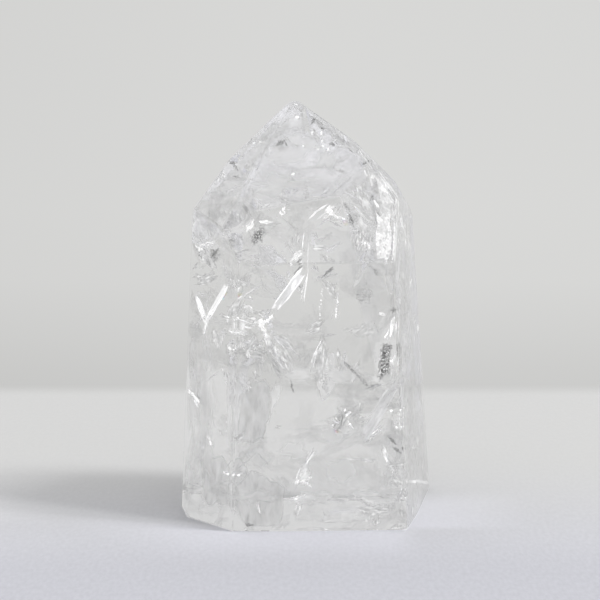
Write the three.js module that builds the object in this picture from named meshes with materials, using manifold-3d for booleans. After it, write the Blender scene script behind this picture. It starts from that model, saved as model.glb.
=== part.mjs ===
// Fire and ice quartz tower: one clear stone, ground to an uneven eight-sided column with a faceted point.
// Millimetres, +Z up. The stone stands on its flat base at z = 0, and its broad front faces -Y.
import * as THREE from 'three';
import { mergeVertices } from 'three/addons/utils/BufferGeometryUtils.js';
import Module from 'manifold-3d';

// The rough block that the stone is ground from.
const roughWidth = 60;
const roughDepth = 60;
const roughHeight = 90;

// Each flat is a plane. Its turn is the way it faces, in degrees: 0 is the front and 90 the right side.
// Its lean is how far it faces upwards, or downwards if negative. Its reach is its level distance from the
// grinding axis at the stated height.
const columnHeight = 0;
const columnFlats = [
  { name: 'front', turn: 2.9, lean: 0.2, reach: 19.25 },
  { name: 'front left', turn: -1.2, lean: -0.1, reach: 19.55 },
  { name: 'left', turn: -50.5, lean: 0.9, reach: 22.75 },
  { name: 'back left', turn: -109, lean: 3, reach: 20.4 },
  { name: 'back', turn: 178, lean: 2.2, reach: 20.4 },
  { name: 'back right', turn: 146, lean: 9, reach: 27.3 },
  { name: 'right, rear part', turn: 80.9, lean: 3, reach: 22.7 },
  { name: 'right, front part', turn: 78, lean: 3.25, reach: 22.85 },
];
const pointHeight = 60;
const pointFlats = [
  { name: 'point, front', turn: 2.4, lean: 32.2, reach: 13.4 },
  { name: 'point, left', turn: -34.5, lean: 40, reach: 19.3 },
  { name: 'point, left shoulder', turn: -111.5, lean: 26.5, reach: 16.1 },
  { name: 'point, back left', turn: -125, lean: 35.2, reach: 15.5 },
  { name: 'point, back', turn: -174, lean: 35, reach: 13.3 },
  { name: 'point, back right', turn: 117, lean: 46.2, reach: 19.2 },
  { name: 'point, right shoulder', turn: 91.5, lean: 30.6, reach: 19.9 },
  { name: 'point, right', turn: 77, lean: 41.5, reach: 21.5 },
];
// Flats that stand for wear: the blunt tip and the rounded corners of the base.
const tipHeight = 80;
const tipFlats = [{ name: 'blunt tip', turn: 20, lean: 78, reach: 0 }];
const baseCornerHeight = 2;
const baseCornerFlats = [
  { name: 'base corner, left', turn: -80, lean: -28, reach: 24.7 },
  { name: 'base corner, left, under', turn: -80, lean: -50, reach: 25.9 },
  { name: 'base corner, back right', turn: 110, lean: -35, reach: 30.4 },
  { name: 'base corner, front right', turn: 40, lean: -42, reach: 27.65 },
];

// Every edge of the polished stone that turns enough to feel sharp is eased by a narrow flat.
const easedWidth = 0.4;
const leastEasedTurn = THREE.MathUtils.degToRad(12);

const grinderSize = 200;

const wasm = await Module();
wasm.setup();

// A closed geometry as a solid that can be cut.
function solidFrom(geometry) {
  const bare = geometry.clone();
  bare.deleteAttribute('normal');
  bare.deleteAttribute('uv');
  const welded = mergeVertices(bare);
  const vertProperties = new Float32Array(welded.attributes.position.array);
  const triVerts = new Uint32Array(welded.index.array);
  return new wasm.Manifold(new wasm.Mesh({ numProp: 3, vertProperties, triVerts }));
}

// A solid as an indexed geometry.
function geometryFrom(solid) {
  const mesh = solid.getMesh();
  const geometry = new THREE.BufferGeometry();
  geometry.setAttribute('position', new THREE.BufferAttribute(new Float32Array(mesh.vertProperties), 3));
  geometry.setIndex(new THREE.BufferAttribute(new Uint32Array(mesh.triVerts), 1));
  return geometry;
}

// The plane of a flat, its normal pointing out of the stone.
function planeOf(flat, height) {
  const turn = THREE.MathUtils.degToRad(flat.turn);
  const lean = THREE.MathUtils.degToRad(flat.lean);
  const level = new THREE.Vector3(Math.sin(turn), -Math.cos(turn), 0);
  const normal = level.clone().multiplyScalar(Math.cos(lean));
  normal.z = Math.sin(lean);
  const point = level.clone().multiplyScalar(flat.reach);
  point.z = height;
  return new THREE.Plane().setFromNormalAndCoplanarPoint(normal, point);
}

// The stone with everything outside a plane ground away by a large block that lies against it.
function ground(stone, plane) {
  const grinder = new THREE.BoxGeometry(grinderSize, grinderSize, grinderSize);
  grinder.translate(0, 0, grinderSize / 2);
  const turned = new THREE.Quaternion().setFromUnitVectors(new THREE.Vector3(0, 0, 1), plane.normal);
  grinder.applyQuaternion(turned);
  const onPlane = plane.coplanarPoint(new THREE.Vector3());
  grinder.translate(onPlane.x, onPlane.y, onPlane.z);
  return stone.subtract(solidFrom(grinder));
}

// The planes that ease the stone's edges: each is square to the halfway direction between the two flats
// that meet at an edge, and lies as deep as makes the eased strip easedWidth wide.
function easingPlanes(stone) {
  const mesh = stone.getMesh();
  const corner = (index) => new THREE.Vector3().fromArray(mesh.vertProperties, 3 * index);
  const sides = new Map();
  for (let i = 0; i < mesh.triVerts.length; i += 3) {
    const corners = [mesh.triVerts[i], mesh.triVerts[i + 1], mesh.triVerts[i + 2]];
    const normal = new THREE.Triangle(...corners.map(corner)).getNormal(new THREE.Vector3());
    for (let k = 0; k < 3; k += 1) {
      const ends = [corners[k], corners[(k + 1) % 3]];
      const key = [...ends].sort((a, b) => a - b).join(' ');
      sides.set(key, [...(sides.get(key) ?? []), { normal, at: corner(ends[0]) }]);
    }
  }
  const planes = [];
  for (const [one, other] of sides.values()) {
    const turn = one.normal.angleTo(other.normal);
    if (turn < leastEasedTurn) {
      continue;
    }
    const normal = one.normal.clone().add(other.normal).normalize();
    const depth = (easedWidth / 2) * Math.tan(turn / 2);
    const point = one.at.clone().addScaledVector(normal, -depth);
    planes.push(new THREE.Plane().setFromNormalAndCoplanarPoint(normal, point));
  }
  return planes;
}

function makeTower() {
  const rough = new THREE.BoxGeometry(roughWidth, roughDepth, roughHeight);
  rough.translate(0, 0, roughHeight / 2);
  let stone = solidFrom(rough);
  const groups = [
    [columnFlats, columnHeight],
    [pointFlats, pointHeight],
    [tipFlats, tipHeight],
    [baseCornerFlats, baseCornerHeight],
  ];
  for (const [flats, height] of groups) {
    for (const flat of flats) {
      const before = stone.volume();
      stone = ground(stone, planeOf(flat, height));
      if (stone.volume() === before) {
        throw new Error(`The flat "${flat.name}" misses the stone`);
      }
    }
  }
  for (const plane of easingPlanes(stone)) {
    stone = ground(stone, plane);
  }
  const geometry = geometryFrom(stone);
  // The origin is the middle of the stone's box, at the base.
  geometry.computeBoundingBox();
  const middle = geometry.boundingBox.getCenter(new THREE.Vector3());
  geometry.translate(-middle.x, -middle.y, -geometry.boundingBox.min.z);
  const quartz = new THREE.MeshStandardMaterial({
    color: 0xf1f4f6,
    roughness: 0.03,
    metalness: 0,
    transparent: true,
    opacity: 0.35,
  });
  const tower = new THREE.Mesh(geometry, quartz);
  tower.name = 'quartz_tower';
  return tower;
}

const object = new THREE.Group();
object.add(makeTower());

export default object;
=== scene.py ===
# A clear, heat-crackled quartz tower on a pale cloth beside a window
from math import radians

import bpy
import numpy as np
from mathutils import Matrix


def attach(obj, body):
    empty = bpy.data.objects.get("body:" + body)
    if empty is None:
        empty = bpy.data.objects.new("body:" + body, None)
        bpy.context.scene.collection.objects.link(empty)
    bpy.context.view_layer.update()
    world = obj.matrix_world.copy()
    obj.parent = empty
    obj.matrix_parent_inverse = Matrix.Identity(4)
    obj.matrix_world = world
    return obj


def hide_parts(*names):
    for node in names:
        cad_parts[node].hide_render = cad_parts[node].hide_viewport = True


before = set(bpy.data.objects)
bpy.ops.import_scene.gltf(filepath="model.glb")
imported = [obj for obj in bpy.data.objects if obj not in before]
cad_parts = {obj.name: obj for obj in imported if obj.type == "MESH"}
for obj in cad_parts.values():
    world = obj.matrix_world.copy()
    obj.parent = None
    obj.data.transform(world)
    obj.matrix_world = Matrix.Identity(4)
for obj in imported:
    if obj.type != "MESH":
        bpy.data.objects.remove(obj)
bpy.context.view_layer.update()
mm = 0.001
quartzIor = 1.544

# The camera, in millimetres from the middle of the stone's base
cameraPlace = {
    "eye": (-1.66, -450.7, 112.0),
    "pitch": 8.95,         # degrees below level
    "focalPixels": 2349.6,
    "framePixels": 600,
    "sensor": 36.0,
    "clip": (0.01, 20),    # metres
    "toStone": 450.0,      # millimetres to the stone's middle, about
}
# Pixels that a millimetre of the stone takes
pixelsPerMm = cameraPlace["focalPixels"] / cameraPlace["toStone"]


def makeCamera(p):
    data = bpy.data.cameras.new("photoCamera")
    data.sensor_width = p["sensor"]
    data.lens = p["sensor"] * p["focalPixels"] / p["framePixels"]
    data.clip_start, data.clip_end = p["clip"]
    cam = bpy.data.objects.new("photoCamera", data)
    cam.location = [v * mm for v in p["eye"]]
    cam.rotation_euler = (radians(90 - p["pitch"]), 0, 0)
    bpy.context.collection.objects.link(cam)
    bpy.context.scene.camera = cam


makeCamera(cameraPlace)
print("camera placed")


# Small helpers for shader trees
def addNode(tree, kind, **values):
    node = tree.nodes.new(kind)
    for name, value in values.items():
        setattr(node, name, value)
    return node


def feed(socket, value):
    if isinstance(value, Value):
        value.tree.links.new(value.socket, socket)
    else:
        socket.default_value = value


# A number or vector in a shader tree. Reckoning with it adds the nodes that do so
class Value:
    def __init__(self, tree, node, output=0):
        self.tree, self.socket = tree, node.outputs[output]

    def math(self, operation, *values):
        return fedNode(self.tree, "ShaderNodeMath", values, operation=operation)

    def __add__(self, other):
        return self.math("ADD", self, other)

    def __sub__(self, other):
        return self.math("SUBTRACT", self, other)

    def __rsub__(self, other):
        return self.math("SUBTRACT", other, self)

    def __mul__(self, other):
        return self.math("MULTIPLY", self, other)

    def __truediv__(self, other):
        return self.math("DIVIDE", self, other)

    def __rtruediv__(self, other):
        return self.math("DIVIDE", other, self)

    def __abs__(self):
        return self.math("ABSOLUTE", self)

    def sine(self):
        return self.math("SINE", self)

    def atLeast(self, other):
        return self.math("MAXIMUM", self, other)

    def vector(self, operation, other, output=0):
        return fedNode(self.tree, "ShaderNodeVectorMath", (self, other), output, operation=operation)

    def dot(self, way):
        return self.vector("DOT_PRODUCT", tuple(float(v) for v in way), "Value")

    def scaled(self, factor):
        node = addNode(self.tree, "ShaderNodeVectorMath", operation="SCALE")
        feed(node.inputs[0], self)
        feed(node.inputs["Scale"], factor)
        return Value(self.tree, node)

    # Rises smoothly from 0 to 1 as the value passes from low to high
    def ramp(self, low, high):
        return fedNode(self.tree, "ShaderNodeMapRange", (self, low, high), interpolation_type="SMOOTHSTEP")

    def noise(self, scale, detail):
        node = addNode(self.tree, "ShaderNodeTexNoise")
        for name, value in (("Vector", self), ("Scale", scale), ("Detail", detail)):
            feed(node.inputs[name], value)
        return Value(self.tree, node, "Fac")

    # From one colour to another as the value, a share, goes from 0 to 1
    def mix(self, first, second):
        node = addNode(self.tree, "ShaderNodeMix", data_type="RGBA")
        for index, value in ((0, self), (6, first), (7, second)):
            feed(node.inputs[index], value)
        return Value(self.tree, node, 2)

    # Straight pieces between (position, brightness) pairs
    def stops(self, stops):
        low, high = stops[0][0], stops[-1][0]
        node = addNode(self.tree, "ShaderNodeValToRGB")
        feed(node.inputs[0], (self - low) / (high - low))
        elements = node.color_ramp.elements
        while len(elements) < len(stops):
            elements.new(0.5)
        for element, (position, bright) in zip(elements, stops):
            element.position = (position - low) / (high - low)
            element.color = grey(bright)
        return Value(self.tree, node)

    def split(self):
        node = addNode(self.tree, "ShaderNodeSeparateXYZ")
        feed(node.inputs[0], self)
        return [Value(self.tree, node, axis) for axis in range(3)]


def fedNode(tree, kind, inputs, output=0, **values):
    node = addNode(tree, kind, **values)
    for socket, value in zip(node.inputs, inputs):
        feed(socket, value)
    return Value(tree, node, output)


def joined(x, y, z):
    return fedNode(x.tree, "ShaderNodeCombineXYZ", (x, y, z))


def attributeValue(tree, name):
    return Value(tree, addNode(tree, "ShaderNodeAttribute", attribute_name=name), "Fac")


def sheetPlace(tree):
    return Value(tree, addNode(tree, "ShaderNodeUVMap", uv_map="sheet"))


def coordinates(tree, name):
    return Value(tree, addNode(tree, "ShaderNodeTexCoord"), name)


def grey(value):
    return (value, value, value, 1.0)


# A material with some of its shader's own values set
def newMaterial(name, values):
    material = bpy.data.materials.new(name)
    material.use_nodes = True
    inputs = material.node_tree.nodes["Principled BSDF"].inputs
    for key, value in values.items():
        inputs[key].default_value = value
    return material, material.node_tree, inputs


# The stone's skin: the CAD triangles with their shared corners welded, in millimetres, and the planes of all
# but the slivers among them
def readSkin(nodeName, leastArea=1.0):
    mesh = bpy.data.objects[nodeName].data
    mesh.calc_loop_triangles()
    points = np.zeros(len(mesh.vertices) * 3)
    mesh.vertices.foreach_get("co", points)
    triangles = np.zeros(len(mesh.loop_triangles) * 3, int)
    mesh.loop_triangles.foreach_get("vertices", triangles)
    welded, index = np.unique((points.reshape(-1, 3) / mm).round(4), axis=0, return_inverse=True)
    triangles = index.reshape(-1)[triangles].reshape(-1, 3)
    a, b, c = (welded[triangles[:, i]] for i in range(3))
    cross = np.cross(b - a, c - a)
    area = np.linalg.norm(cross, axis=1)
    normals = cross / area[:, None]
    planes = np.column_stack([normals, (normals * a).sum(1)])[area > leastArea]
    planes = np.unique(planes.round(3), axis=0)
    return welded, triangles, planes


skinPoints, skinTriangles, flats = readSkin("quartz_tower")
print("skin read:", len(skinTriangles), "triangles,", len(flats), "planes")


def unit(v):
    v = np.asarray(v, float)
    return v / np.linalg.norm(v)


def direction(turn, height):
    turn, height = radians(turn), radians(height)
    return np.array([np.cos(turn) * np.cos(height), np.sin(turn) * np.cos(height), np.sin(height)])


# How far a line from a place inside runs until it meets a flat, and which one
def firstFlat(place, way):
    toward = flats[:, :3] @ way
    run = np.where(toward > 1e-9, (flats[:, 3] - flats[:, :3] @ place) / np.maximum(toward, 1e-9), np.inf)
    return run.min(), run.argmin()


# Where the view ray through a pixel meets the stone, and its way inside: it bends by Snell's law at the
# nearest flat that faces it, or at the flat with the given number
def enter(px, py, flat=None):
    p = cameraPlace
    tilt = radians(p["pitch"])
    ahead = np.array([0, np.cos(tilt), -np.sin(tilt)])
    up = np.array([0, np.sin(tilt), np.cos(tilt)])
    half = p["framePixels"] / 2
    way = unit(ahead + ((px - half) * np.array([1.0, 0, 0]) - (py - half) * up) / p["focalPixels"])
    eye = np.array(p["eye"])
    toward = flats[:, :3] @ way
    meets = np.where(toward < 0, (flats[:, 3] - flats[:, :3] @ eye) / np.minimum(toward, -1e-9), -np.inf)
    flat = np.argmax(meets) if flat is None else flat
    normal, cosIn = flats[flat, :3], -toward[flat]
    cosOut = np.sqrt(1 - (1 - cosIn ** 2) / quartzIor ** 2)
    return eye + way * meets[flat], way / quartzIor + (cosIn / quartzIor - cosOut) * normal, flat


# The place where that ray has gone some millimetres into the stone, at most half way through
def spot(px, py, deep):
    near, inner, _ = enter(px, py)
    return near + inner * min(deep, firstFlat(near + inner * 0.01, inner)[0] / 2), inner


def hasRoom(place, room=0.5):
    return (flats[:, :3] @ place < flats[:, 3] - room).all()


# The normal that turns a view ray at a place into one that leaves the stone towards an outside direction
def mirrorTo(place, inner, outside, grazing=0.12):
    outside = unit(outside)
    found = []
    for index, flat in enumerate(flats):
        cosOut = flat[:3] @ outside
        if cosOut < grazing:
            continue
        cosIn = np.sqrt(1 - (1 - cosOut ** 2) / quartzIor ** 2)
        leaving = outside / quartzIor + (cosIn - cosOut / quartzIor) * flat[:3]
        if firstFlat(place, leaving)[1] == index:
            normal = unit(leaving - inner)
            found.append((abs(normal @ inner), index, normal))
    return min(found)[2]


# A crack is a thin, closed, lens-like gap. Two parameters run over it: one goes from the middle of its
# upper wall out to the rim and back to the middle of its lower wall, the other goes round. The outline is a
# circle, or a squarer curve, stretched along and across and made uneven by cosines of the turn. Both walls
# follow one middle sheet, a bowl plus a twist plus a few long waves, half the gap above and below it,
# thinning to the rim with the square of the way out
crackShape = {
    "rings": (5, 14),     # fewest and most, on each wall
    "spokes": (14, 56),
    "spokeCells": 1.5,    # cells from one spoke to the next at the rim
    "margin": 0.45,       # millimetres of whole quartz left between a crack and the skin
    "lobes": (2, 10),     # how often the outline's cosines repeat in a turn: fewest, and one past the most
    "lobeFade": 0.6,      # how fast the finer ones lose height
    "outline": (0.3, 1.7),
    "least": 0.02,        # what is left of the outline where there is no room
    "lastRing": 0.996,    # a ring just inside the rim
    "waves": 6,
    "waveLength": (0.35, 1.3),    # in sizes of the crack
}


def crackSheet(rng, centre, along, across, bow, twist, wave, jag=0.16, gap=0.04, cell=0.55, square=1.5):
    p = crackShape
    long, wide = np.linalg.norm(along), np.linalg.norm(across)
    size = max(long, wide)
    out = unit(np.cross(along, across))
    rings = int(np.clip(round(size / cell), *p["rings"]))
    spokes = int(np.clip(round(2 * np.pi * size / cell / p["spokeCells"]), *p["spokes"]))
    turn = np.linspace(0, 2 * np.pi, spokes, endpoint=False)
    lobes = np.arange(*p["lobes"])
    sizes = rng.normal(0, 1, len(lobes)) * jag / lobes ** p["lobeFade"]
    shifts = rng.uniform(0, 2 * np.pi, len(lobes))
    outline = 1 + (sizes[:, None] * np.cos(lobes[:, None] * turn + shifts[:, None])).sum(0)
    outline = np.clip(outline, *p["outline"])
    outline = outline / (abs(np.cos(turn)) ** square + abs(np.sin(turn)) ** square) ** (1 / square)
    # The outline stops short of the skin
    room = flats[:, 3] - p["margin"] - flats[:, :3] @ centre
    spoke = np.cos(turn)[:, None] * along + np.sin(turn)[:, None] * across
    toward = spoke @ flats[:, :3].T
    most = np.where(toward > 1e-9, room / np.maximum(toward, 1e-9), np.inf).min(1)
    outline = np.minimum(outline, np.maximum(most, p["least"]))
    level = np.append(np.arange(1, rings) / rings, p["lastRing"])
    level = np.concatenate([level, [1.0], level[::-1]])
    side = np.concatenate([np.ones(rings), [0], -np.ones(rings)])
    x = np.append((level[:, None] * outline * np.cos(turn)).ravel(), [0, 0])
    y = np.append((level[:, None] * outline * np.sin(turn)).ravel(), [0, 0])
    half = np.repeat(side * gap / 2 * (1 - level ** 2), spokes)
    half = np.append(half, [gap / 2, -gap / 2])
    u, v = x * long, y * wide
    height = bow * size * (x ** 2 + y ** 2) + twist * size * x * y
    for _ in range(p["waves"]):
        length = rng.uniform(*p["waveLength"]) * size
        lean = rng.uniform(0, np.pi)
        height += wave * length * np.sin(2 * np.pi * (u * np.cos(lean) + v * np.sin(lean)) / length
                                         + rng.uniform(0, 6)) / 2
    points = centre + x[:, None] * along + y[:, None] * across + (height + half)[:, None] * out
    # A bowed rim is drawn back where it would come too near the skin
    past = (points - centre) @ flats[:, :3].T
    fit = np.where(past > 1e-9, (room + p["margin"] / 2) / np.maximum(past, 1e-9), np.inf).min(1)
    points = centre + (points - centre) * np.minimum(fit, 1)[:, None]
    # The faces look into the gap, away from the quartz
    count = 2 * rings + 1
    grid = np.arange(count * spokes).reshape(count, spokes)
    turned = np.roll(grid, -1, axis=1)
    near, far = (np.stack(three, -1) for three in ((grid[:-1], turned[:-1], grid[1:]),
                                                   (grid[1:], turned[:-1], turned[1:])))
    top, bottom = count * spokes, count * spokes + 1
    faces = np.concatenate([
        np.stack([np.full(spokes, top), turned[0], grid[0]], -1),
        near[:rings].reshape(-1, 3), far[:rings].reshape(-1, 3),
        near[rings:].reshape(-1, 3), far[rings:].reshape(-1, 3),
        np.stack([np.full(spokes, bottom), grid[-1], turned[-1]], -1)])
    # For the patterns: millimetres along and across, how near the rim a point is, and its share across
    level = np.append(np.repeat(level, spokes), [0, 0])
    return {"points": points, "faces": faces, "local": np.column_stack([u, v]), "level": level, "across": y}


# Half length and half width in pixels, and lean on the picture, as two axes in the plane of a normal. The
# plane is met by the rays through the next pixel to the right and the next one up
def seenAxes(px, py, centre, normal, half, wide, lean):
    flat = enter(px, py)[2]
    steps = []
    for right, up in ((1, 0), (0, 1)):
        near, inner, _ = enter(px + right, py - up, flat)
        steps.append(near + inner * ((centre - near) @ normal) / (inner @ normal) - centre)
    for turn, reach in ((radians(lean), half), (radians(lean + 90), wide)):
        yield (steps[0] * np.cos(turn) + steps[1] * np.sin(turn)) * reach


# Where loose cracks may lie, in pixels of the picture
loosePlaces = {
    "reach": ((184, 430), (100, 530)),    # across and down
    "keepOff": 0.8,    # the share of a crack's size that keeps out of the stone's clear windows
    "windows": [(240, 155, 332, 205), (264, 266, 300, 300), (342, 308, 376, 350), (290, 395, 325, 445),
                (318, 455, 386, 492), (192, 378, 232, 462)],
}


# A random pixel, a place on its view ray inside the stone and the ray's way there, for a size in pixels
def looseSpot(rng, size):
    p = loosePlaces
    off = size * p["keepOff"]
    while True:
        px, py = (rng.uniform(*ends) for ends in p["reach"])
        if any(x0 - off < px < x1 + off and y0 - off < py < y1 + off for x0, y0, x1, y1 in p["windows"]):
            continue
        near, inner = spot(px, py, 0.01)
        centre = near + inner * rng.uniform(0, max(firstFlat(near, inner)[0], 0))
        if hasRoom(centre, 1.0):
            return px, py, centre, inner


# Loose cracks of every size, scattered as seen from the front
looseCracks = {
    "seed": 5,
    "without": (2, 3, 19),    # the numbers of cracks that would glare at the viewer
    # Cracks that would mirror brightly to the front, by their normal's share along the view, lie flatter
    "mirrorLean": (0.3, 0.8),
    "flatter": 20,            # degrees to the view
    "narrow": (0.3, 0.9),     # width as a share of the length
    "bow": 0.12,
    "twist": 0.12,
    "wave": (0.004, 0.02),
    # How many, half lengths in millimetres, arcs, wrinkles, slant to the view in degrees, roughness
    "kinds": [
        (6, (2.5, 6.0), 0.3, 0.5, (12, 26), 0.14),
        (8, (4.0, 7.5), 0.8, 0.6, None, 0.10),
        (20, (2.0, 4.0), 0.8, 0.8, None, 0.06),
        (26, (0.9, 2.0), 0.5, 1.0, None, 0.04),
        (24, (0.3, 0.8), 0.0, 1.0, None, 0.02),
    ],
}


# The view's way tilted by a slope, towards the side given by another vector
def leaning(slope, inner, side):
    return inner * np.cos(slope) + unit(np.cross(inner, side)) * np.sin(slope)


def looseSheets(p):
    rng = np.random.default_rng(p["seed"])
    number = -1
    for count, (low, high), arcs, wrinkle, slant, rough in p["kinds"]:
        for _ in range(count):
            size = rng.uniform(low, high)
            _, _, centre, inner = looseSpot(rng, size * pixelsPerMm)
            normal = unit(rng.normal(0, 1, 3))
            lean = abs(normal @ inner)
            if slant:
                normal = leaning(radians(rng.uniform(*slant)), inner, normal)
            elif p["mirrorLean"][0] < lean < p["mirrorLean"][1]:
                normal = leaning(radians(p["flatter"]), inner, normal)
            along = unit(np.cross(normal, rng.normal(0, 1, 3)))
            across = np.cross(normal, along) * rng.uniform(*p["narrow"])
            sheet = crackSheet(rng, centre, along * size, across * size, bow=rng.normal(0, p["bow"]),
                               twist=rng.normal(0, p["twist"]), wave=rng.uniform(*p["wave"]))
            sheet.update(arcs=arcs * rng.uniform(0, 1), wrinkle=wrinkle * rng.uniform(0.1, 1), rough=rough)
            number += 1
            if number not in p["without"]:
                yield sheet


# The cracks that show in the photograph, grouped by what part of the room they mirror towards the viewer and
# by their kind. Each is given by the pixel and the depth in millimetres of its middle, its half length and
# half width in pixels, and its lean on the picture in degrees
seenCracks = {
    "seed": 11,             # with the pixel, a crack's own seed
    "slivers": (0, 4),      # smaller ones beside each crack: fewest, and one more than the most
    "sliverShare": (0.15, 0.45),
    "sliverReach": (1.0, 1.6),    # how far off along and across, in half lengths and half widths
    "sliverTilt": 0.16,
    "sliverJag": 0.2,
    "most": 3,              # a sliver's width is at most this many times its share of its length
    "mirrors": {  # compass turn and height, degrees
        "window": (-7, 35), "glow": (-7, 54), "pale": (60, 60), "dim": (-12, 14),
    },
    "kinds": {  # bow, twist, wave, jag, arcs, wrinkle, roughness
        "ribbon": (0.03, 0.05, 0.004, 0.10, 0.15, 0.15, 0.03),
        "crackle": (0.15, 0.15, 0.018, 0.25, 0.6, 1.0, 0.07),
        "veil": (0.08, 0.08, 0.006, 0.15, 0.3, 0.25, 0.10),
        "fleck": (0.2, 0.2, 0.03, 0.30, 0.0, 1.2, 0.04),
    },
    "list": {
        ("window", "crackle"): [
            (314, 131, 4, 8, 2, -48), (256, 142, 6, 7, 3, 30), (370, 175, 5, 14, 6, -60),
            (333, 212, 9, 14, 5, 40), (212, 246, 4, 8, 3, -10), (264, 322, 9, 12, 6, 70),
            (337, 306, 10, 16, 2.5, 85), (392, 362, 4, 20, 2, -80), (336, 430, 8, 8, 3, -40),
            (400, 421, 3, 14, 1.5, 86), (391, 467, 6, 11, 4, -60), (304, 470, 10, 22, 5, 65),
            (304, 498, 8, 14, 6, 20),
        ],
        ("window", "ribbon"): [
            (218, 174, 4, 4, 1.5, 55), (379, 210, 5, 12, 2, -65), (250, 226, 5, 6, 2.5, 75),
            (266, 222, 6, 6, 2, 0), (200, 309, 4, 14, 2.5, -72), (217, 303, 8, 20, 2, 61),
            (194, 396, 4, 11, 2, -55), (316, 357, 8, 16, 1.5, 68), (392, 326, 4, 15, 3, 72),
            (385, 455, 6, 7, 2, -75),
        ],
        ("window", "fleck"): [
            (293, 174, 14, 2, 1.5, 0), (283, 212, 9, 5, 3, 60), (210, 441, 6, 6, 2, -60),
            (225, 473, 7, 4, 1.5, 0),
        ],
        ("window", "veil"): [(390, 214, 4, 20, 4, 88)],
        ("glow", "ribbon"): [
            (362, 216, 8, 9, 1.5, -42), (338, 222, 9, 9, 2.5, -15), (303, 292, 12, 10, 1.5, 80),
            (377, 416, 9, 34, 1.8, 58),
        ],
        ("glow", "crackle"): [
            (366, 243, 8, 6, 5, -50), (296, 240, 8, 7, 4, 80), (292, 348, 10, 12, 3, -50),
            (243, 384, 7, 10, 4, -50), (375, 432, 8, 10, 3, 40), (372, 503, 10, 14, 6, -20),
        ],
        ("dim", "crackle"): [(280, 350, 11, 32, 13, -58), (252, 352, 8, 17, 12, -15)],
        ("pale", "veil"): [(328, 372, 14, 26, 10, 85)],
    },
}


# Each row of a grouped list, after its group
def rowsOf(groups):
    return [(group, row) for group, rows in groups.items() for row in rows]


def seenSheets(p):
    for (mirror, kind), (px, py, deep, half, wide, lean) in rowsOf(p["list"]):
        rng = np.random.default_rng([p["seed"], px, py])
        centre, inner = spot(px, py, deep)
        normal = mirrorTo(centre, inner, direction(*p["mirrors"][mirror]))
        axes = list(seenAxes(px, py, centre, normal, half, wide, lean))
        bow, twist, wave, jag, arcs, wrinkle, rough = p["kinds"][kind]
        arcs, wrinkle = (value * rng.uniform(0.5, 1.5) for value in (arcs, wrinkle))
        mark = {"arcs": arcs, "wrinkle": wrinkle, "rough": rough}
        yield dict(crackSheet(rng, centre, *axes, bow=rng.normal(0, bow), twist=rng.normal(0, twist),
                              wave=wave * rng.uniform(0.5, 1.5), jag=jag), **mark)
        # Slivers beside it, nearly in its plane
        longReach, wideReach = p["sliverReach"]
        for _ in range(rng.integers(*p["slivers"])):
            beside = centre + axes[0] * rng.uniform(-longReach, longReach)
            beside = beside + axes[1] * rng.uniform(-wideReach, wideReach) + normal * rng.uniform(-1, 1)
            if not hasRoom(beside, 0.8):
                continue
            tilt = rng.normal(0, p["sliverTilt"], 3)
            share = rng.uniform(*p["sliverShare"])
            pair = [axis * share + np.cross(tilt, axis) * share for axis in axes]
            pair[1] = pair[1] * min(1, p["most"] * share * np.linalg.norm(axes[0]) / np.linalg.norm(axes[1]))
            yield dict(crackSheet(rng, beside, *pair, bow=rng.normal(0, bow), twist=rng.normal(0, twist),
                                  wave=wave, jag=p["sliverJag"]), **mark)


# Joins sheets in one mesh, after a first solid if there is one. Each name becomes an attribute, 0 where a
# sheet has no such value
def joinSheets(name, sheets, names, solid=None):
    start = solid or (np.zeros((0, 3)), np.zeros((0, 3), int))
    sizes = [len(s["points"]) for s in sheets]
    firsts = len(start[0]) + np.cumsum([0] + sizes[:-1])
    points = np.concatenate([start[0]] + [s["points"] for s in sheets])
    faces = np.concatenate([start[1]] + [s["faces"] + first for s, first in zip(sheets, firsts)])
    local = np.concatenate([np.zeros((len(start[0]), 2))] + [s["local"] for s in sheets])
    mesh = bpy.data.meshes.new(name)
    mesh.from_pydata((points * mm).tolist(), [], faces.tolist())
    layer = mesh.uv_layers.new(name="sheet")
    layer.data.foreach_set("uv", local[faces.ravel()].ravel())
    for key in names:
        values = [np.broadcast_to(s.get(key, 0), n) for s, n in zip(sheets, sizes)]
        attribute = mesh.attributes.new(key, "FLOAT", "POINT")
        attribute.data.foreach_set("value", np.concatenate([np.zeros(len(start[0]))] + values))
    # 0 on the solid, 1 on a sheet's upper wall and 2 on its lower one
    walls = np.concatenate([np.zeros(len(start[1]), int)]
                           + [np.repeat([1, 2], len(s["faces"]) // 2) for s in sheets])
    mesh.polygons.foreach_set("use_smooth", walls > 0)
    mesh.update()
    piece = bpy.data.objects.new(name, mesh)
    bpy.context.collection.objects.link(piece)
    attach(piece, "root")
    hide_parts("quartz_tower")
    print(name, "built:", len(sheets), "sheets,", len(faces), "triangles")
    return mesh, walls


quartzLook = {
    "roughness": 0.0,      # of the skin
    "arcSpacing": 1.15,    # millimetres
    "arcHeight": 0.012,
    "driftScale": 300.0,   # per metre; a noise that bends the arcs
    "drift": 14.0,         # radians
    "wrinkleScale": 420.0,   # per metre
    "wrinkleHeight": 0.03,
}


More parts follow.
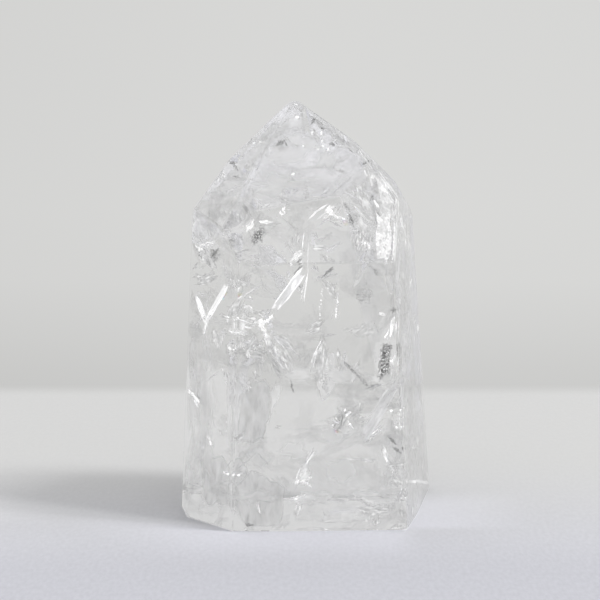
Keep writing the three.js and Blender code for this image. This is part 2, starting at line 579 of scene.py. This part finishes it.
# Clear quartz. On the walls of a crack a bump adds arcs and fine wrinkles
def quartzMaterial(name, p, side):
    material, tree, inputs = newMaterial(name, {
        "Base Color": (1, 1, 1, 1), "Roughness": p["roughness"],
        "Transmission Weight": 1.0, "IOR": quartzIor})
    if side:
        place = coordinates(tree, "Object")
        arcs, wrinkle, rough = (attributeValue(tree, name) for name in ("arcs", "wrinkle", "rough"))
        feed(inputs["Roughness"], rough)
        away = sheetPlace(tree).vector("LENGTH", (0, 0, 0), "Value")
        phase = away * (2 * np.pi / p["arcSpacing"]) + place.noise(p["driftScale"], 1.0) * p["drift"]
        crease = (place.noise(p["wrinkleScale"], 0.6) - 0.5) * wrinkle * p["wrinkleHeight"]
        bump = addNode(tree, "ShaderNodeBump", invert=side < 0)
        feed(bump.inputs["Strength"], 1.0)
        feed(bump.inputs["Distance"], mm)
        feed(bump.inputs["Height"], phase.sine() * arcs * p["arcHeight"] + crease)
        feed(inputs["Normal"], Value(tree, bump))
    return material


# The skin and every crack together are the walls of one solid
def makeStone():
    sheets = list(seenSheets(seenCracks)) + list(looseSheets(looseCracks))
    mesh, walls = joinSheets("crackled_quartz", sheets, ("arcs", "wrinkle", "rough"),
                             (skinPoints, skinTriangles))
    for name, side in (("clearQuartz", 0), ("crackUpper", 1), ("crackLower", -1)):
        mesh.materials.append(quartzMaterial(name, quartzLook, side))
    mesh.polygons.foreach_set("material_index", walls)


makeStone()

# Silvery films in the healed fractures: thin closed lenses in the quartz, given as in seenCracks but grouped
# by kind alone. They face the viewer at a slant. Their emission is painted light: a glow on every film and
# painted glints on the bright kinds
veils = {
    "seed": 21,             # with the pixel, a film's own seed
    "slant": (14, 36),      # degrees
    "turn": (15, 165),      # degrees, the way that a film slants as seen from the front
    "smoothTurn": (70, 110),
    "slimTurn": 15,         # either side of a slim film's own lean
    "slim": 3.5,            # length over width of a slim film
    "bend": 0.06,
    "wave": 0.008,
    "ragged": {"jag": 0.3, "square": 1.5},
    "neat": {"jag": 0.1, "square": 4},    # for the crisp kinds
    "gap": 0.02,
    "cell": 1.15,
    "crispKinds": ("pane", "block", "arm", "ribbon", "band"),
    "smoothKinds": ("calm", "mist", "pale", "smudge", "glaze", "pane", "fog", "thin"),
    # Values in the order of veilNames, and 0 where one isn't given
    "kinds": {
        "haze": (1.00, 0.19, 0.15, 1.30, 0.06, 0.08, 0, 0.55),
        "cloud": (1.00, 0.25, 0.15, 1.10, 0.10, 0.07, 0, 0.55),
        "mist": (0.96, 0.45, 0.7, 1.60, 0.04, 0.07, 0.7, 0.30),
        "pale": (1.00, 0.50, 0.7, 1.60, 0.03, 0.12, 0.5, 0.50),
        "smudge": (0.98, 0.45, 0.0, 1.60, 0.03, 0.10, 0.8, 0.15),
        "glaze": (1.00, 0.42, 0.0, 1.60, 0.03, 0.17, 0.7, 0.20),
        "calm": (1.00, 0.26, 0.0, 1.60, 0.03, 0.13, 1.0, 0.50),
        "pane": (0.91, 0.68, 0.8, 1.00, 0.14, 0.04, 0.4, 0.85),
        "fog": (0.94, 0.70, 0.5, 1.00, 0.12, 0.05, 0.6, 0.25),
        "thin": (1.00, 0.15, 0.2, 1.30, 0.06, 0.05, 0.6, 0.20),
        "shade": (0.92, 0.38, 0.5, 0.70, 0.12, 0.00, 0, 0.55),
        "feather": (1.00, 0.50, 0.85, 0.34, 0.25, 0.35, 0, 0.55),
        "ripple": (0.90, 0.50, 0.9, 0.40, 0.35, 0.10, 0, 0.55),
        "white": (1.00, 0.95, 0.5, 0.28, 0.20, 0.55, 0.4, 0.60),
        "spark": (1.00, 1.00, 0.0, 0.50, 0.00, 0.60, 1, 0.90),
        "line": (1.00, 0.95, 0.7, 0.50, 0.10, 0.45, 0.5, 0.70),
        "block": (1.00, 0.80, 0.3, 0.35, 0.20, 0.48, 0.45, 0.90),
        "arm": (1.00, 0.85, 0.9, 0.60, 0.10, 0.42, 0.7, 0.75, 0.3),
        "burst": (1.00, 0.75, 0.8, 0.50, 0.25, 0.36, 0.15, 0.45),
        "puff": (1.00, 0.62, 0.6, 0.60, 0.15, 0.26, 0.45, 0.35),
        "murk": (0.80, 0.50, 0.2, 0.50, 0.35, 0.10, 0.3, 0.45),
        "ribbon": (1.00, 0.80, 0.9, 0.60, 0.10, 0.55, 0.3, 0.85, 1),
        "band": (1.00, 0.58, 0.9, 0.60, 0.10, 0.17, 0.25, 0.80, 0.8),
        # ink and smoke are dark films: partly dark specks in the quartz, partly painted dark reflections of
        # cracks that mirror dark parts of the room
        "ink": (0.42, 0.65, 0.4, 0.24, 0.50, 0.05, 0.3, 0.70),
        "smoke": (0.60, 0.55, 0.0, 0.40, 0.50, 0.10, 0.2, 0.70),
        "speckle": (0.42, 0.85, 0.0, 0.22, 0.80, 0.60, 0, 0.50),
        "beads": (1.00, 1.00, 0.0, 0.35, 0.10, 0.40, 0, 0.70, 0, 1),
        "iris": (1.00, 0.50, 0.5, 0.80, 0.05, 0.10, 0, 0.60, 0, 0, 0.3),
    },
    "without": (24, 36, 37, 55, 71, 77, 109, 120, 125),   # loose films that would draw hard lines
    "narrow": (0.3, 0.8),
    "loose": [  # how many, half lengths in millimetres, kind
        (50, (1.5, 5.0), "haze"), (40, (1.0, 4.0), "cloud"), (36, (0.8, 2.5), "feather"),
    ],
    "list": {
        "shade": [
            (318, 122, 3, 14, 4, -37), (341, 140, 3, 15, 4, -38), (336, 224, 8, 7, 1.6, -25),
            (290, 224, 8, 16, 1.2, -40), (392, 190, 3, 5, 2, -50), (238, 281, 8, 12, 6, 80),
            (264, 284, 8, 8, 1.8, -65), (213, 376, 8, 9, 1, 40), (364, 295, 12, 12, 8, 10),
            (366, 293, 7, 8, 5, -20), (370, 266, 7, 8, 2, -50), (328, 335, 9, 12, 1.6, 5),
            (327, 355, 8, 10, 1.8, -76), (307, 362, 8, 11, 4, 75), (347, 364, 8, 9, 1, -40),
            (358, 372, 8, 12, 1, -42), (403, 300, 3, 40, 2, 88), (416, 450, 3, 44, 2, -86),
            (376, 327, 8, 9, 1.2, -70), (391, 406, 6, 7, 5, 40), (340, 412, 7, 7, 1.5, -60),
            (338, 438, 9, 21, 1.6, 16), (406, 300, 3, 26, 5, 84), (405, 470, 4, 26, 2.5, 82),
            (399, 497, 4, 14, 3, 65), (278, 427, 6, 3, 2.5, 0), (262, 495, 5, 16, 13, 80),
            (232, 492, 6, 14, 5, 85), (268, 496, 6, 12, 5, 80), (247, 461, 8, 11, 1.3, 42),
            (265, 461, 8, 11, 1.3, -48), (338, 501, 8, 12, 3, -5), (392, 507, 5, 6, 5, 60),
        ],
        "cloud": [
            (330, 131, 4, 26, 5, -37), (276, 128, 6, 24, 12, 52), (276, 140, 6, 14, 8, 20),
            (218, 200, 8, 20, 9, 20), (306, 210, 8, 18, 8, 35), (353, 241, 8, 13, 1.2, -85),
            (234, 246, 9, 12, 8, -60), (209, 298, 8, 12, 8, -60), (246, 283, 9, 22, 14, -75),
            (238, 330, 8, 11, 5, 70), (230, 361, 8, 10, 8, 0), (256, 403, 6, 16, 8, 80),
            (352, 520, 7, 14, 6, 0), (392, 517, 6, 8, 6, 70), (344, 512, 10, 16, 12, 20),
            (372, 497, 8, 12, 4, 5),
        ],
        "feather": [
            (312, 146, 5, 14, 3, 0), (316, 138, 5, 8, 3, -50), (295, 240, 7, 9, 5, 80),
            (362, 240, 9, 16, 13, 80), (360, 195, 7, 14, 9, -60), (380, 190, 5, 12, 6, -50),
            (204, 282, 6, 10, 4, 15), (196, 266, 4, 6, 2, 60), (245, 314, 7, 7, 4, 60),
            (284, 342, 8, 18, 5, -38), (271, 345, 9, 22, 5, -66), (287, 362, 9, 28, 8, -60),
            (250, 343, 7, 12, 3, -10), (242, 381, 7, 10, 6, -45), (322, 365, 12, 28, 12, 85),
            (340, 362, 9, 12, 5, -80), (334, 426, 8, 9, 5, -30), (306, 463, 8, 15, 4, 62),
            (325, 497, 8, 8, 2, 0), (372, 512, 8, 18, 12, 0), (375, 524, 6, 8, 5, 80),
            (352, 498, 9, 9, 3, 10), (386, 497, 7, 8, 3, -10), (330, 520, 8, 14, 6, 5),
            (298, 509, 7, 10, 6, 80), (368, 517, 7, 8, 5, 80),
        ],
        # Dark films: dark specks, and painted dark reflections of cracks
        "ink": [
            (313, 121, 3, 4, 2, 60), (334, 139, 4, 6, 2, -60), (332, 144, 4, 4, 2, 10),
            (322, 128, 4, 3, 1.5, -30), (280, 143, 5, 5, 1.6, 35), (285, 142, 4, 4, 1.6, -60),
            (280, 143, 4, 4, 3, 20), (232, 163, 3, 4, 2, 0), (351, 220, 7, 8, 2.4, -70),
            (257, 236, 5, 7, 5, 50), (378, 213, 4, 4, 1.5, -60), (372, 198, 4, 5, 1.8, 80),
            (365, 163, 4, 4, 1.6, 30), (215, 252, 5, 5, 3, 65), (292, 387, 8, 6, 1.5, -75),
            (298, 270, 7, 8, 1.5, 52), (328, 272, 4, 8, 2, 45), (376, 272, 5, 4, 2, -80),
            (393, 310, 3, 4, 2.5, 70), (384, 364, 6, 14, 5, 82), (388, 347, 4, 6, 4, 0),
            (342, 421, 7, 8, 0.9, 80), (336, 424, 7, 6, 0.8, 50), (392, 440, 5, 7, 2, -55),
            (397, 450, 5, 6, 2, -35), (247, 521, 4, 8, 2.2, 80), (249, 525, 2, 4, 2, 0),
        ],
        "smoke": [
            (350, 150, 4, 4, 1.2, -40), (234, 165, 4, 8, 2.5, -50), (237, 177, 5, 4, 2, 0),
            (347, 207, 7, 6, 2, -55), (215, 254, 6, 9, 6, 65), (352, 370, 6, 12, 2.4, -48),
            (363, 381, 6, 9, 2.6, -50), (374, 386, 5, 10, 2.6, 15), (381, 377, 6, 6, 2.5, 60),
            (262, 505, 6, 12, 3, 80),
        ],
        # Bright films: their emission paints glints, as it does for the spark, line, block, arm, burst,
        # ribbon and beads kinds
        "white": [
            (218, 173, 4, 4, 1.3, 55), (329, 209, 7, 6, 4, 40), (333, 214, 7, 8, 3, -35),
            (341, 218, 7, 7, 1.8, -20), (250, 226, 4, 8, 4, 60), (265, 222, 4, 8, 2.4, 0),
            (297, 256, 4, 9, 4, 42), (379, 218, 5, 9, 3, -65), (388, 200, 4, 9, 3, -60),
            (383, 190, 4, 8, 4, -50), (373, 177, 4, 5, 4, 0), (207, 244, 4, 8, 3, 10),
            (205, 329, 5, 8, 1.6, 75), (191, 393, 3, 5, 2, -30), (196, 402, 4, 8, 1.8, -60),
            (209, 440, 6, 6, 1.6, -70), (249, 308, 7, 7, 3.5, -40), (262, 322, 7, 6, 4, 20),
            (264, 330, 7, 8, 3, -70), (270, 318, 8, 6, 2, 50), (392, 326, 4, 17, 3, 74),
            (382, 314, 5, 5, 2, 0), (393, 363, 4, 12, 1.6, 80), (348, 414, 7, 6, 1.5, 40),
            (350, 424, 7, 5, 1.2, -60), (386, 452, 5, 10, 1, -72), (411, 283, 2, 5, 1.3, 80),
            (418, 328, 2, 6, 1.2, 80), (302, 480, 8, 9, 4, 20), (298, 474, 8, 7, 1.5, 70),
            (308, 484, 8, 6, 1.5, -40), (297, 498, 7, 7, 2.5, 20), (308, 497, 7, 7, 2, -15),
        ],
        "haze": [
            (208, 228, 8, 11, 8, 80), (341, 186, 8, 19, 1.5, 42), (409, 455, 3, 40, 2.5, -86),
            (413, 420, 3, 40, 4, 88), (305, 517, 9, 16, 9, 0), (312, 504, 10, 13, 9, 60),
            (382, 508, 9, 14, 10, 70), (374, 330, 10, 30, 10, 80), (368, 352, 11, 20, 9, 75),
            (300, 205, 12, 26, 8, 10), (262, 262, 8, 16, 7, 0),
        ],
        "line": [
            (314, 214, 7, 11, 1, 40), (320, 209, 7, 12, 1.2, 34), (323, 215, 8, 9, 0.9, 38),
            (361, 213, 8, 11, 1, -48), (303, 240, 7, 8, 0.9, 85), (308, 252, 8, 9, 0.8, 85),
            (366, 160, 3, 14, 1, -56), (383, 181, 3, 15, 1.2, -50), (396, 200, 3, 12, 1, -65),
            (402, 222, 3, 14, 0.9, -78), (244, 321, 4, 8, 0.9, -20), (246, 327, 4, 8, 0.9, -15),
            (241, 333, 4, 8, 0.8, -12), (306, 285, 9, 19, 1.1, 82), (316, 350, 8, 14, 1, 64),
            (310, 458, 8, 8, 1.2, 55),
        ],
        "iris": [(345, 222, 7, 5, 3, -70), (224, 295, 7, 8, 3, 62), (336, 431, 8, 5, 3, 0)],
        "speckle": [(258, 235, 3, 10, 8, 50), (385, 361, 5, 21, 8, 85)],
        "puff": [
            (362, 225, 6, 12, 6, -70), (367, 205, 6, 12, 5, -60), (386, 206, 5, 18, 8, -70),
            (244, 322, 5, 13, 8, 75), (241, 332, 5, 10, 5, -15), (249, 309, 5, 6, 4, 30),
            (304, 474, 8, 14, 8, 60), (306, 464, 8, 12, 4, 62), (303, 499, 7, 17, 4, 5),
        ],
        "block": [(384, 237, 4, 24, 8, 90), (385, 196, 4, 20, 5, -75)],
        "arm": [(202, 310, 4, 17, 2.6, -71), (217, 303, 4, 22, 3.2, 60)],
        "burst": [(283, 344, 6, 16, 4, -40), (388, 460, 4, 15, 2, -63)],
        "ripple": [(277, 368, 9, 16, 4, -58), (251, 352, 8, 17, 13, -14), (341, 420, 8, 13, 8, 65)],
        "ribbon": [(289, 290, 6, 25, 5, 54)],
        "beads": [
            (321, 299, 8, 22, 1.5, 84), (337, 307, 9, 15, 2, 85), (400, 419, 3, 10, 1.6, 85),
            (405, 497, 3, 16, 1.5, 86),
        ],
        "murk": [(364, 296, 7, 13, 8, 20)],
        "band": [(380, 410, 5, 38, 6, 59)],
        "pane": [(254, 411, 4, 33, 17, 88), (259, 502, 4, 30, 24, 90), (216, 480, 6, 26, 15, 87)],
        "mist": [
            (254, 440, 5, 18, 8, 0), (207, 398, 6, 58, 16, 89), (193, 400, 4, 50, 9, 89),
            (191, 350, 4, 24, 6, 88), (205, 452, 6, 30, 14, 88), (190, 480, 4, 30, 6, 88),
            (290, 150, 5, 42, 28, 20), (325, 160, 6, 26, 16, 30), (293, 122, 4, 20, 14, 0),
            (281, 185, 8, 40, 16, 0), (258, 457, 9, 20, 14, 0),
        ],
        "pale": [
            (229, 403, 5, 34, 6, 89), (275, 396, 5, 20, 7, 78), (378, 500, 4, 20, 6, 0),
            (310, 500, 4, 24, 7, 0),
        ],
        "fog": [(203, 489, 5, 24, 9, 0), (238, 488, 6, 26, 10, 0), (268, 488, 6, 18, 9, 0)],
        "smudge": [
            (206, 508, 6, 22, 14, 5), (255, 492, 8, 26, 9, 0), (255, 496, 4, 34, 10, 0),
            (370, 495, 5, 36, 8, 0), (318, 496, 5, 30, 8, 0),
        ],
        "glaze": [
            (300, 375, 6, 34, 14, 0), (340, 376, 6, 36, 13, 0), (378, 380, 5, 26, 11, 10),
            (345, 518, 5, 50, 11, 0),
        ],
        "calm": [
            (342, 470, 5, 32, 18, 0), (384, 462, 6, 28, 11, 85), (336, 432, 8, 26, 14, 0),
            (298, 452, 8, 18, 14, 0),
        ],
        "thin": [
            (305, 386, 9, 26, 9, 0), (306, 420, 8, 26, 20, 80), (340, 472, 8, 26, 17, 10),
            (288, 182, 8, 30, 22, 20), (358, 332, 8, 22, 14, 80),
        ],
    },
    "sparks": [  # pixels of single painted glints
        (312, 133), (321, 133), (310, 140), (318, 149), (323, 146), (328, 149), (322, 141), (297, 117),
        (303, 146), (254, 143), (260, 142), (280, 213), (283, 209), (365, 243), (369, 245), (360, 237),
        (224, 472), (228, 474), (293, 174), (400, 410), (401, 427), (345, 410), (350, 424), (333, 425),
        (250, 297), (238, 318),
    ],
    "spark": (0.8, 1.7),    # half length in pixels
    "sparkDepth": (3, 9),
}

veilNames = ("tone", "cover", "streak", "grain", "contrast", "shine", "fill", "crisp", "rim", "holes",
             "iris", "seed", "level", "across")


def veilSheets(p):
    def film(rng, px, py, centre, inner, half, wide, lean, kind):
        slant, turn = radians(rng.uniform(*p["slant"])), rng.uniform(*p["turn"])
        if half > p["slim"] * wide:
            turn = lean % 180 + 90 - 180 * (lean > 0) + rng.uniform(-p["slimTurn"], p["slimTurn"])
        elif kind in p["smoothKinds"]:
            turn = rng.uniform(*p["smoothTurn"])
        turn = radians(turn)
        side = np.array([1.0, 0, 0])
        upward = unit(np.cross(side, inner))
        normal = np.sin(slant) * (np.cos(turn) * side + np.sin(turn) * upward) - np.cos(slant) * inner
        axes = seenAxes(px, py, centre, normal, half, wide, lean)
        edge = p["neat"] if kind in p["crispKinds"] else p["ragged"]
        sheet = crackSheet(rng, centre, *axes, bow=rng.normal(0, p["bend"]), twist=rng.normal(0, p["bend"]),
                           wave=p["wave"], gap=p["gap"], cell=p["cell"], **edge)
        sheet["faces"] = sheet["faces"][:, ::-1]
        sheet.update(zip(veilNames, p["kinds"][kind]), seed=rng.uniform(0, 50))
        return sheet

    for kind, (px, py, deep, half, wide, lean) in rowsOf(p["list"]):
        rng = np.random.default_rng([p["seed"], px, py])
        yield film(rng, px, py, *spot(px, py, deep), half, wide, lean, kind)
    for px, py in p["sparks"]:
        rng = np.random.default_rng([p["seed"], px, py])
        size = rng.uniform(*p["spark"])
        centre, inner = spot(px, py, rng.uniform(*p["sparkDepth"]))
        if hasRoom(centre):
            yield film(rng, px, py, centre, inner, size, size * rng.uniform(0.5, 1),
                       rng.uniform(0, 180), "spark")
    sizes = [(kind, ends) for count, ends, kind in p["loose"] for _ in range(count)]
    for number, (kind, ends) in enumerate(sizes):
        if number not in p["without"]:
            rng = np.random.default_rng([p["seed"], number])
            size = rng.uniform(*ends) * pixelsPerMm
            yield film(rng, *looseSpot(rng, size), size, size * rng.uniform(*p["narrow"]),
                       rng.uniform(0, 180), kind)


filmLook = {
    "roughness": 0.35,
    "stretch": 0.85,           # how far a streak value of 1 draws the pattern out
    "broad": 0.37,             # scale of the broad noise, against the fine one
    "light": (0.53, 0.62),     # noise between which the pattern's light and dark parts set in
    "dark": (0.38, 0.47),
    "rim": (0.5, 0.75),        # share across where a bright, painted rim sets in
    "gone": 0.98,              # share of the way out where the last of a film ends
    "patches": (0.36, 0.56),
    "thinned": 0.55,           # how much cover a thin patch loses
    "glow": 0.075,             # a painted glow in every film's emission, standing for the light it catches, as a share of its tone
    "hues": (0.3, -1.2, -2.6),   # shifts of red, green and blue, radians
    "hueRate": 2.2,            # radians for a millimetre
}


# A silvery film, patchy and streaked, which thins out raggedly to its rim. Its emission paints a glow on all
# of it and painted glints on its light parts
def veilMaterial(name, p):
    material, tree, inputs = newMaterial(name, {
        "Metallic": 1.0, "Roughness": p["roughness"], "Emission Strength": 1.0})
    at = {name: attributeValue(tree, name) for name in veilNames}
    x, y, _ = sheetPlace(tree).split()
    # The pattern is drawn out along the sheet by the streak value
    drawn = joined(x * (1 - at["streak"] * p["stretch"]), y, at["seed"] * at["grain"])
    drawn = drawn.scaled(1 / at["grain"])
    fine, broad = drawn.noise(1.0, 2.0), drawn.noise(p["broad"], 1.0)
    dark = 1 - fine.ramp(*p["dark"])
    # Light parts, and the bright rim of some kinds, get the painted glint in the emission
    rim = abs(at["across"]).ramp(*p["rim"]) * at["rim"]
    light = fine.ramp(*p["light"]).atLeast(at["fill"]).atLeast(rim)
    # Cover: ragged at the rim, thinner in patches, and gone between beads
    ragged = (broad - 0.5) * (1 - at["crisp"]) * 2.0 + at["level"]
    edge = 1 - ragged.ramp(at["crisp"], p["gone"])
    patch = (1 - (1 - broad.ramp(*p["patches"])) * p["thinned"]).atLeast(at["fill"])
    bead = 1 - at["holes"] * (1 - light)
    feed(inputs["Alpha"], at["cover"] * edge * patch * bead)
    tone = at["tone"] * (1 - at["contrast"] * dark) + light * at["contrast"] * 0.5
    tone = tone.math("MINIMUM", tone, 1.0)
    # Colours of a thin film: 1 plus a sine of the place along the sheet, each with its own shift
    hues = (x * p["hueRate"] + shift for shift in p["hues"])
    colour = joined(*(hue.sine() * at["iris"] + 1.0 for hue in hues))
    feed(inputs["Base Color"], colour.scaled(tone))
    # Painted light: a glow on every film, and painted glints where the pattern is light or along a bright
    # rim
    glint = at["tone"] * p["glow"] + light * at["shine"]
    feed(inputs["Emission Color"], joined(glint, glint, glint))
    return material


def makeVeils():
    mesh, _ = joinSheets("fracture_veils", list(veilSheets(veils)), veilNames)
    mesh.materials.append(veilMaterial("silverFilm", filmLook))


makeVeils()

# The cloth: white and matt near the stone, with painted light thrown by the stone and painted shade to the
# front, and past its far edges the plain pale backdrop
clothLook = {
    "reach": 7.0,                    # metres from the middle to each side
    "edge": (0.1100, 0.1260),        # metres; the cloth fades into the backdrop between these
    "near": (0.688, 0.691, 0.743),   # the cloth towards the viewer, then behind the stone
    "far": (0.722, 0.722, 0.717),
    "turn": (-0.058, 0.05),          # metres from front to back over which the one becomes the other
    "drop": 0.00004,                 # metres; the stone rests on the tips of the nap
    "nap": 0.2,                      # how much the nap mottles the near cloth
    "napFar": 0.06,                  # and the far cloth
    "napScale": 1300.0,              # grains per metre
    "napAlong": 0.35,                # a grain's width over its length
    "dim": 0.055,                    # painted shade: how much the cloth darkens to the front
    "dimReach": (-0.022, -0.050),    # and between which metres
    # The backdrop's brightness by its closeness, 1 over its metres from the eye, and its warmth
    "backdrop": [(0.0, 0.680), (1.05, 0.690), (1.33, 0.680), (1.55, 0.640), (1.67, 0.615), (1.76, 0.600)],
    "warmth": (1.0, 1.0, 0.985),
    "shade": 0.045,                  # how much darker the backdrop is on the left
    "shadeReach": (-0.17, 0.02),     # as metres to the right over metres from the eye
}
# Painted light: the light that the stone throws on the cloth, painted in the cloth's emission, in
# millimetres from its foot's outline or from its middle
thrownLight = {
    "under": 0.44,                   # painted light beneath the stone
    "underEdge": (-0.2, 0.25),
    "round": (0.115, 0.115, 0.135),  # painted light round its foot, but not in its shadow
    "roundReach": (-4, 26),
    "roundBack": (0, 16),            # it fades out between these towards the back
    "gapRight": (14, 22),            # and in the front corner past both of these
    "gapFront": (-20, -15),
    "corner": (-12.7, -19.0),        # the foot's corner where the shadow's near edge starts
    "slope": 0.33,                   # of that edge
    "soft": 3,                       # half its softness
    "cornerSoft": 6,
    "spill": 0.09,                   # a wedge of painted light in the shadow's near side, to the left of the corner
    "spillFrom": (0.05, 0.30),       # the slopes where it sets in, and where it fades out
    "spillTo": (0.40, 0.62),
    "spillStart": 12,
    "spillTip": 2,
    "tallest": 40,                   # flats that lie farther out than this at floor level aren't the foot's
}


# How far outside the foot a place on the cloth lies: the largest of its distances past the stone's flats
def outsideFoot(place, tallest):
    outside = None
    for nx, ny, nz, d in flats[flats[:, 2] > -0.9]:
        if d / np.hypot(nx, ny) < tallest:
            past = place.dot((nx / mm, ny / mm, 0)) - float(d)
            outside = outside.atLeast(past) if outside else past
    return outside


# The thrown light as a colour, painted in the cloth's emission
def thrownColour(p, place, x, y):
    outside = outsideFoot(place, p["tallest"])
    under = (1 - outside.ramp(*p["underEdge"])) * p["under"]
    # Round the stone: in front of the shadow's edge or to the right of its corner
    cornerX, cornerY = p["corner"]
    middle = cornerY + cornerX * p["slope"]
    lit = 1 - (x * p["slope"] + y).ramp((middle - p["soft"]) * mm, (middle + p["soft"]) * mm)
    lit = lit.atLeast(x.ramp(cornerX * mm, (cornerX + p["cornerSoft"]) * mm))
    back, right, front = (value.ramp(*(v * mm for v in p[key]))
                          for value, key in ((y, "roundBack"), (x, "gapRight"), (y, "gapFront")))
    around = lit * (1 - back) * (1 - outside.ramp(*p["roundReach"])) * (1 - right * (1 - front))
    # The spill, by the slope from the corner
    along = cornerX * mm - x
    risen = (y - cornerY * mm) / (along + p["spillTip"] * mm).atLeast(mm)
    wedge = risen.ramp(*p["spillFrom"]) * (1 - risen.ramp(*p["spillTo"]))
    under = under + wedge * along.ramp(0.0, p["spillStart"] * mm) * p["spill"]
    return joined(*(around * share + under for share in p["round"]))


def makeCloth(p):
    r, drop = p["reach"], p["drop"]
    mesh = bpy.data.meshes.new("cloth")
    mesh.from_pydata([(-r, -r, -drop), (r, -r, -drop), (r, r, -drop), (-r, r, -drop)], [], [(0, 1, 2, 3)])
    cloth = bpy.data.objects.new("cloth", mesh)
    bpy.context.collection.objects.link(cloth)
    material, tree, inputs = newMaterial("paleCloth", {
        "Roughness": 1.0, "Specular IOR Level": 0.0, "Emission Strength": 1.0})
    place = coordinates(tree, "Object")
    x, y, _ = place.split()
    away = abs(x).atLeast(abs(y))
    past = away.ramp(*p["edge"])
    # The cloth itself
    farther = y.ramp(*p["turn"])
    grains = place.vector("MULTIPLY", (1, p["napAlong"], 1)).noise(p["napScale"], 3.0)
    mottle = (grains - 0.5) * (farther * (p["napFar"] - p["nap"]) + p["nap"])
    # The nap mottles the cloth, and painted shade darkens it to the front
    bright = mottle + 1.0 - y.ramp(*p["dimReach"]) * p["dim"]
    weave = farther.mix(p["near"] + (1,), p["far"] + (1,)).scaled(bright)
    feed(inputs["Base Color"], past.mix(weave, (0, 0, 0, 1)))
    # The backdrop, a little darker low down and to the left
    metres = away - cameraPlace["eye"][1] * mm
    shade = (x / metres).ramp(*p["shadeReach"]) * p["shade"] + (1.0 - p["shade"])
    tone = (1 / metres).stops(p["backdrop"]).scaled(shade).vector("MULTIPLY", p["warmth"])
    # The emission paints the stone's thrown light on the cloth, and past its edge the backdrop's tone
    feed(inputs["Emission Color"], past.mix(thrownColour(thrownLight, place, x, y), tone))
    mesh.materials.append(material)


makeCloth(clothLook)
print("cloth laid")

# The window, low on the right and a little to the front. The lamp lights the cloth, and the sky in the
# window is a softer bright field of the room's light, which is what the stone mirrors
windowLight = {
    "turn": -7, "height": 35, "distance": 3.0,
    "lampTurn": -16, "lampHeight": 50, "width": 0.5, "tall": 1.0, "radiance": 18.4,
    "sky": 1.5,
    "skyReach": (8, 14),      # half angles, degrees
    "skySoft": 9,
}

# The room's light by direction. Each zone: compass turn from +X, height, reach and softness in degrees, and
# brightness
roomLight = {
    "back": 0.67,
    "front": 0.68,
    "above": 0.72,
    "turn": (-0.6, 0.5),      # from front to back and from level to above, as shares of a unit direction
    "rise": (0.3, 0.9),
    "zones": [
        (-90, 14, 7, 4, 0.40),
        (-128, 8, 12, 8, 0.52),
        (-60, 20, 10, 6, 0.52),
        (181, 14, 7, 5, 0.35),
        (17, 8, 6, 5, 0.35),
        (-12, 12, 6, 6, 0.50),
        (-160, 30, 10, 8, 0.52),
    ],
}


def makeRoom(p, w):
    world = bpy.data.worlds.new("room")
    bpy.context.scene.world = world
    world.use_nodes = True
    tree = world.node_tree
    way = coordinates(tree, "Generated")
    _, y, z = way.split()
    colour = y.ramp(*p["turn"]).mix(grey(p["front"]), grey(p["back"]))
    colour = z.ramp(*p["rise"]).mix(colour, grey(p["above"]))
    for turn, height, reach, soft, bright in p["zones"]:
        outer, inner = (float(np.cos(radians(angle))) for angle in (reach + soft, reach))
        colour = way.dot(direction(turn, height)).ramp(outer, inner).mix(colour, grey(bright))
    # The window's sky: inside both its half angles, and on its own side of the room
    centre = direction(w["turn"], w["height"])
    sideways = direction(w["turn"] + 90, 0)
    share = way.dot(centre).ramp(0.0, 0.1)
    for axis, reach in zip((sideways, np.cross(centre, sideways)), w["skyReach"]):
        inner, outer = (float(np.sin(radians(angle))) for angle in (reach, reach + w["skySoft"]))
        share = share * (1 - abs(way.dot(axis)).ramp(inner, outer))
    background = tree.nodes["Background"].inputs
    feed(background["Color"], share.mix(colour, grey(w["sky"])))
    feed(background["Strength"], 1.0)


def makeWindow(p):
    light = bpy.data.lights.new("window", "AREA")
    light.shape = "RECTANGLE"
    light.size, light.size_y = p["width"], p["tall"]
    light.energy = p["radiance"] * np.pi * p["width"] * p["tall"]
    lamp = bpy.data.objects.new("window", light)
    lamp.location = direction(p["lampTurn"], p["lampHeight"]) * p["distance"]
    lamp.rotation_euler = (radians(90 - p["lampHeight"]), 0, radians(p["lampTurn"] + 90))
    lamp.visible_glossy = False
    lamp.visible_transmission = False
    bpy.context.collection.objects.link(lamp)


makeRoom(roomLight, windowLight)
makeWindow(windowLight)
print("room and window lit")

# Light crosses many cracks before it is out of the stone
bounces = 48
scene = bpy.context.scene
scene.view_settings.view_transform = "Standard"
for kind in ("max_bounces", "transmission_bounces", "glossy_bounces", "transparent_max_bounces"):
    setattr(scene.cycles, kind, bounces)
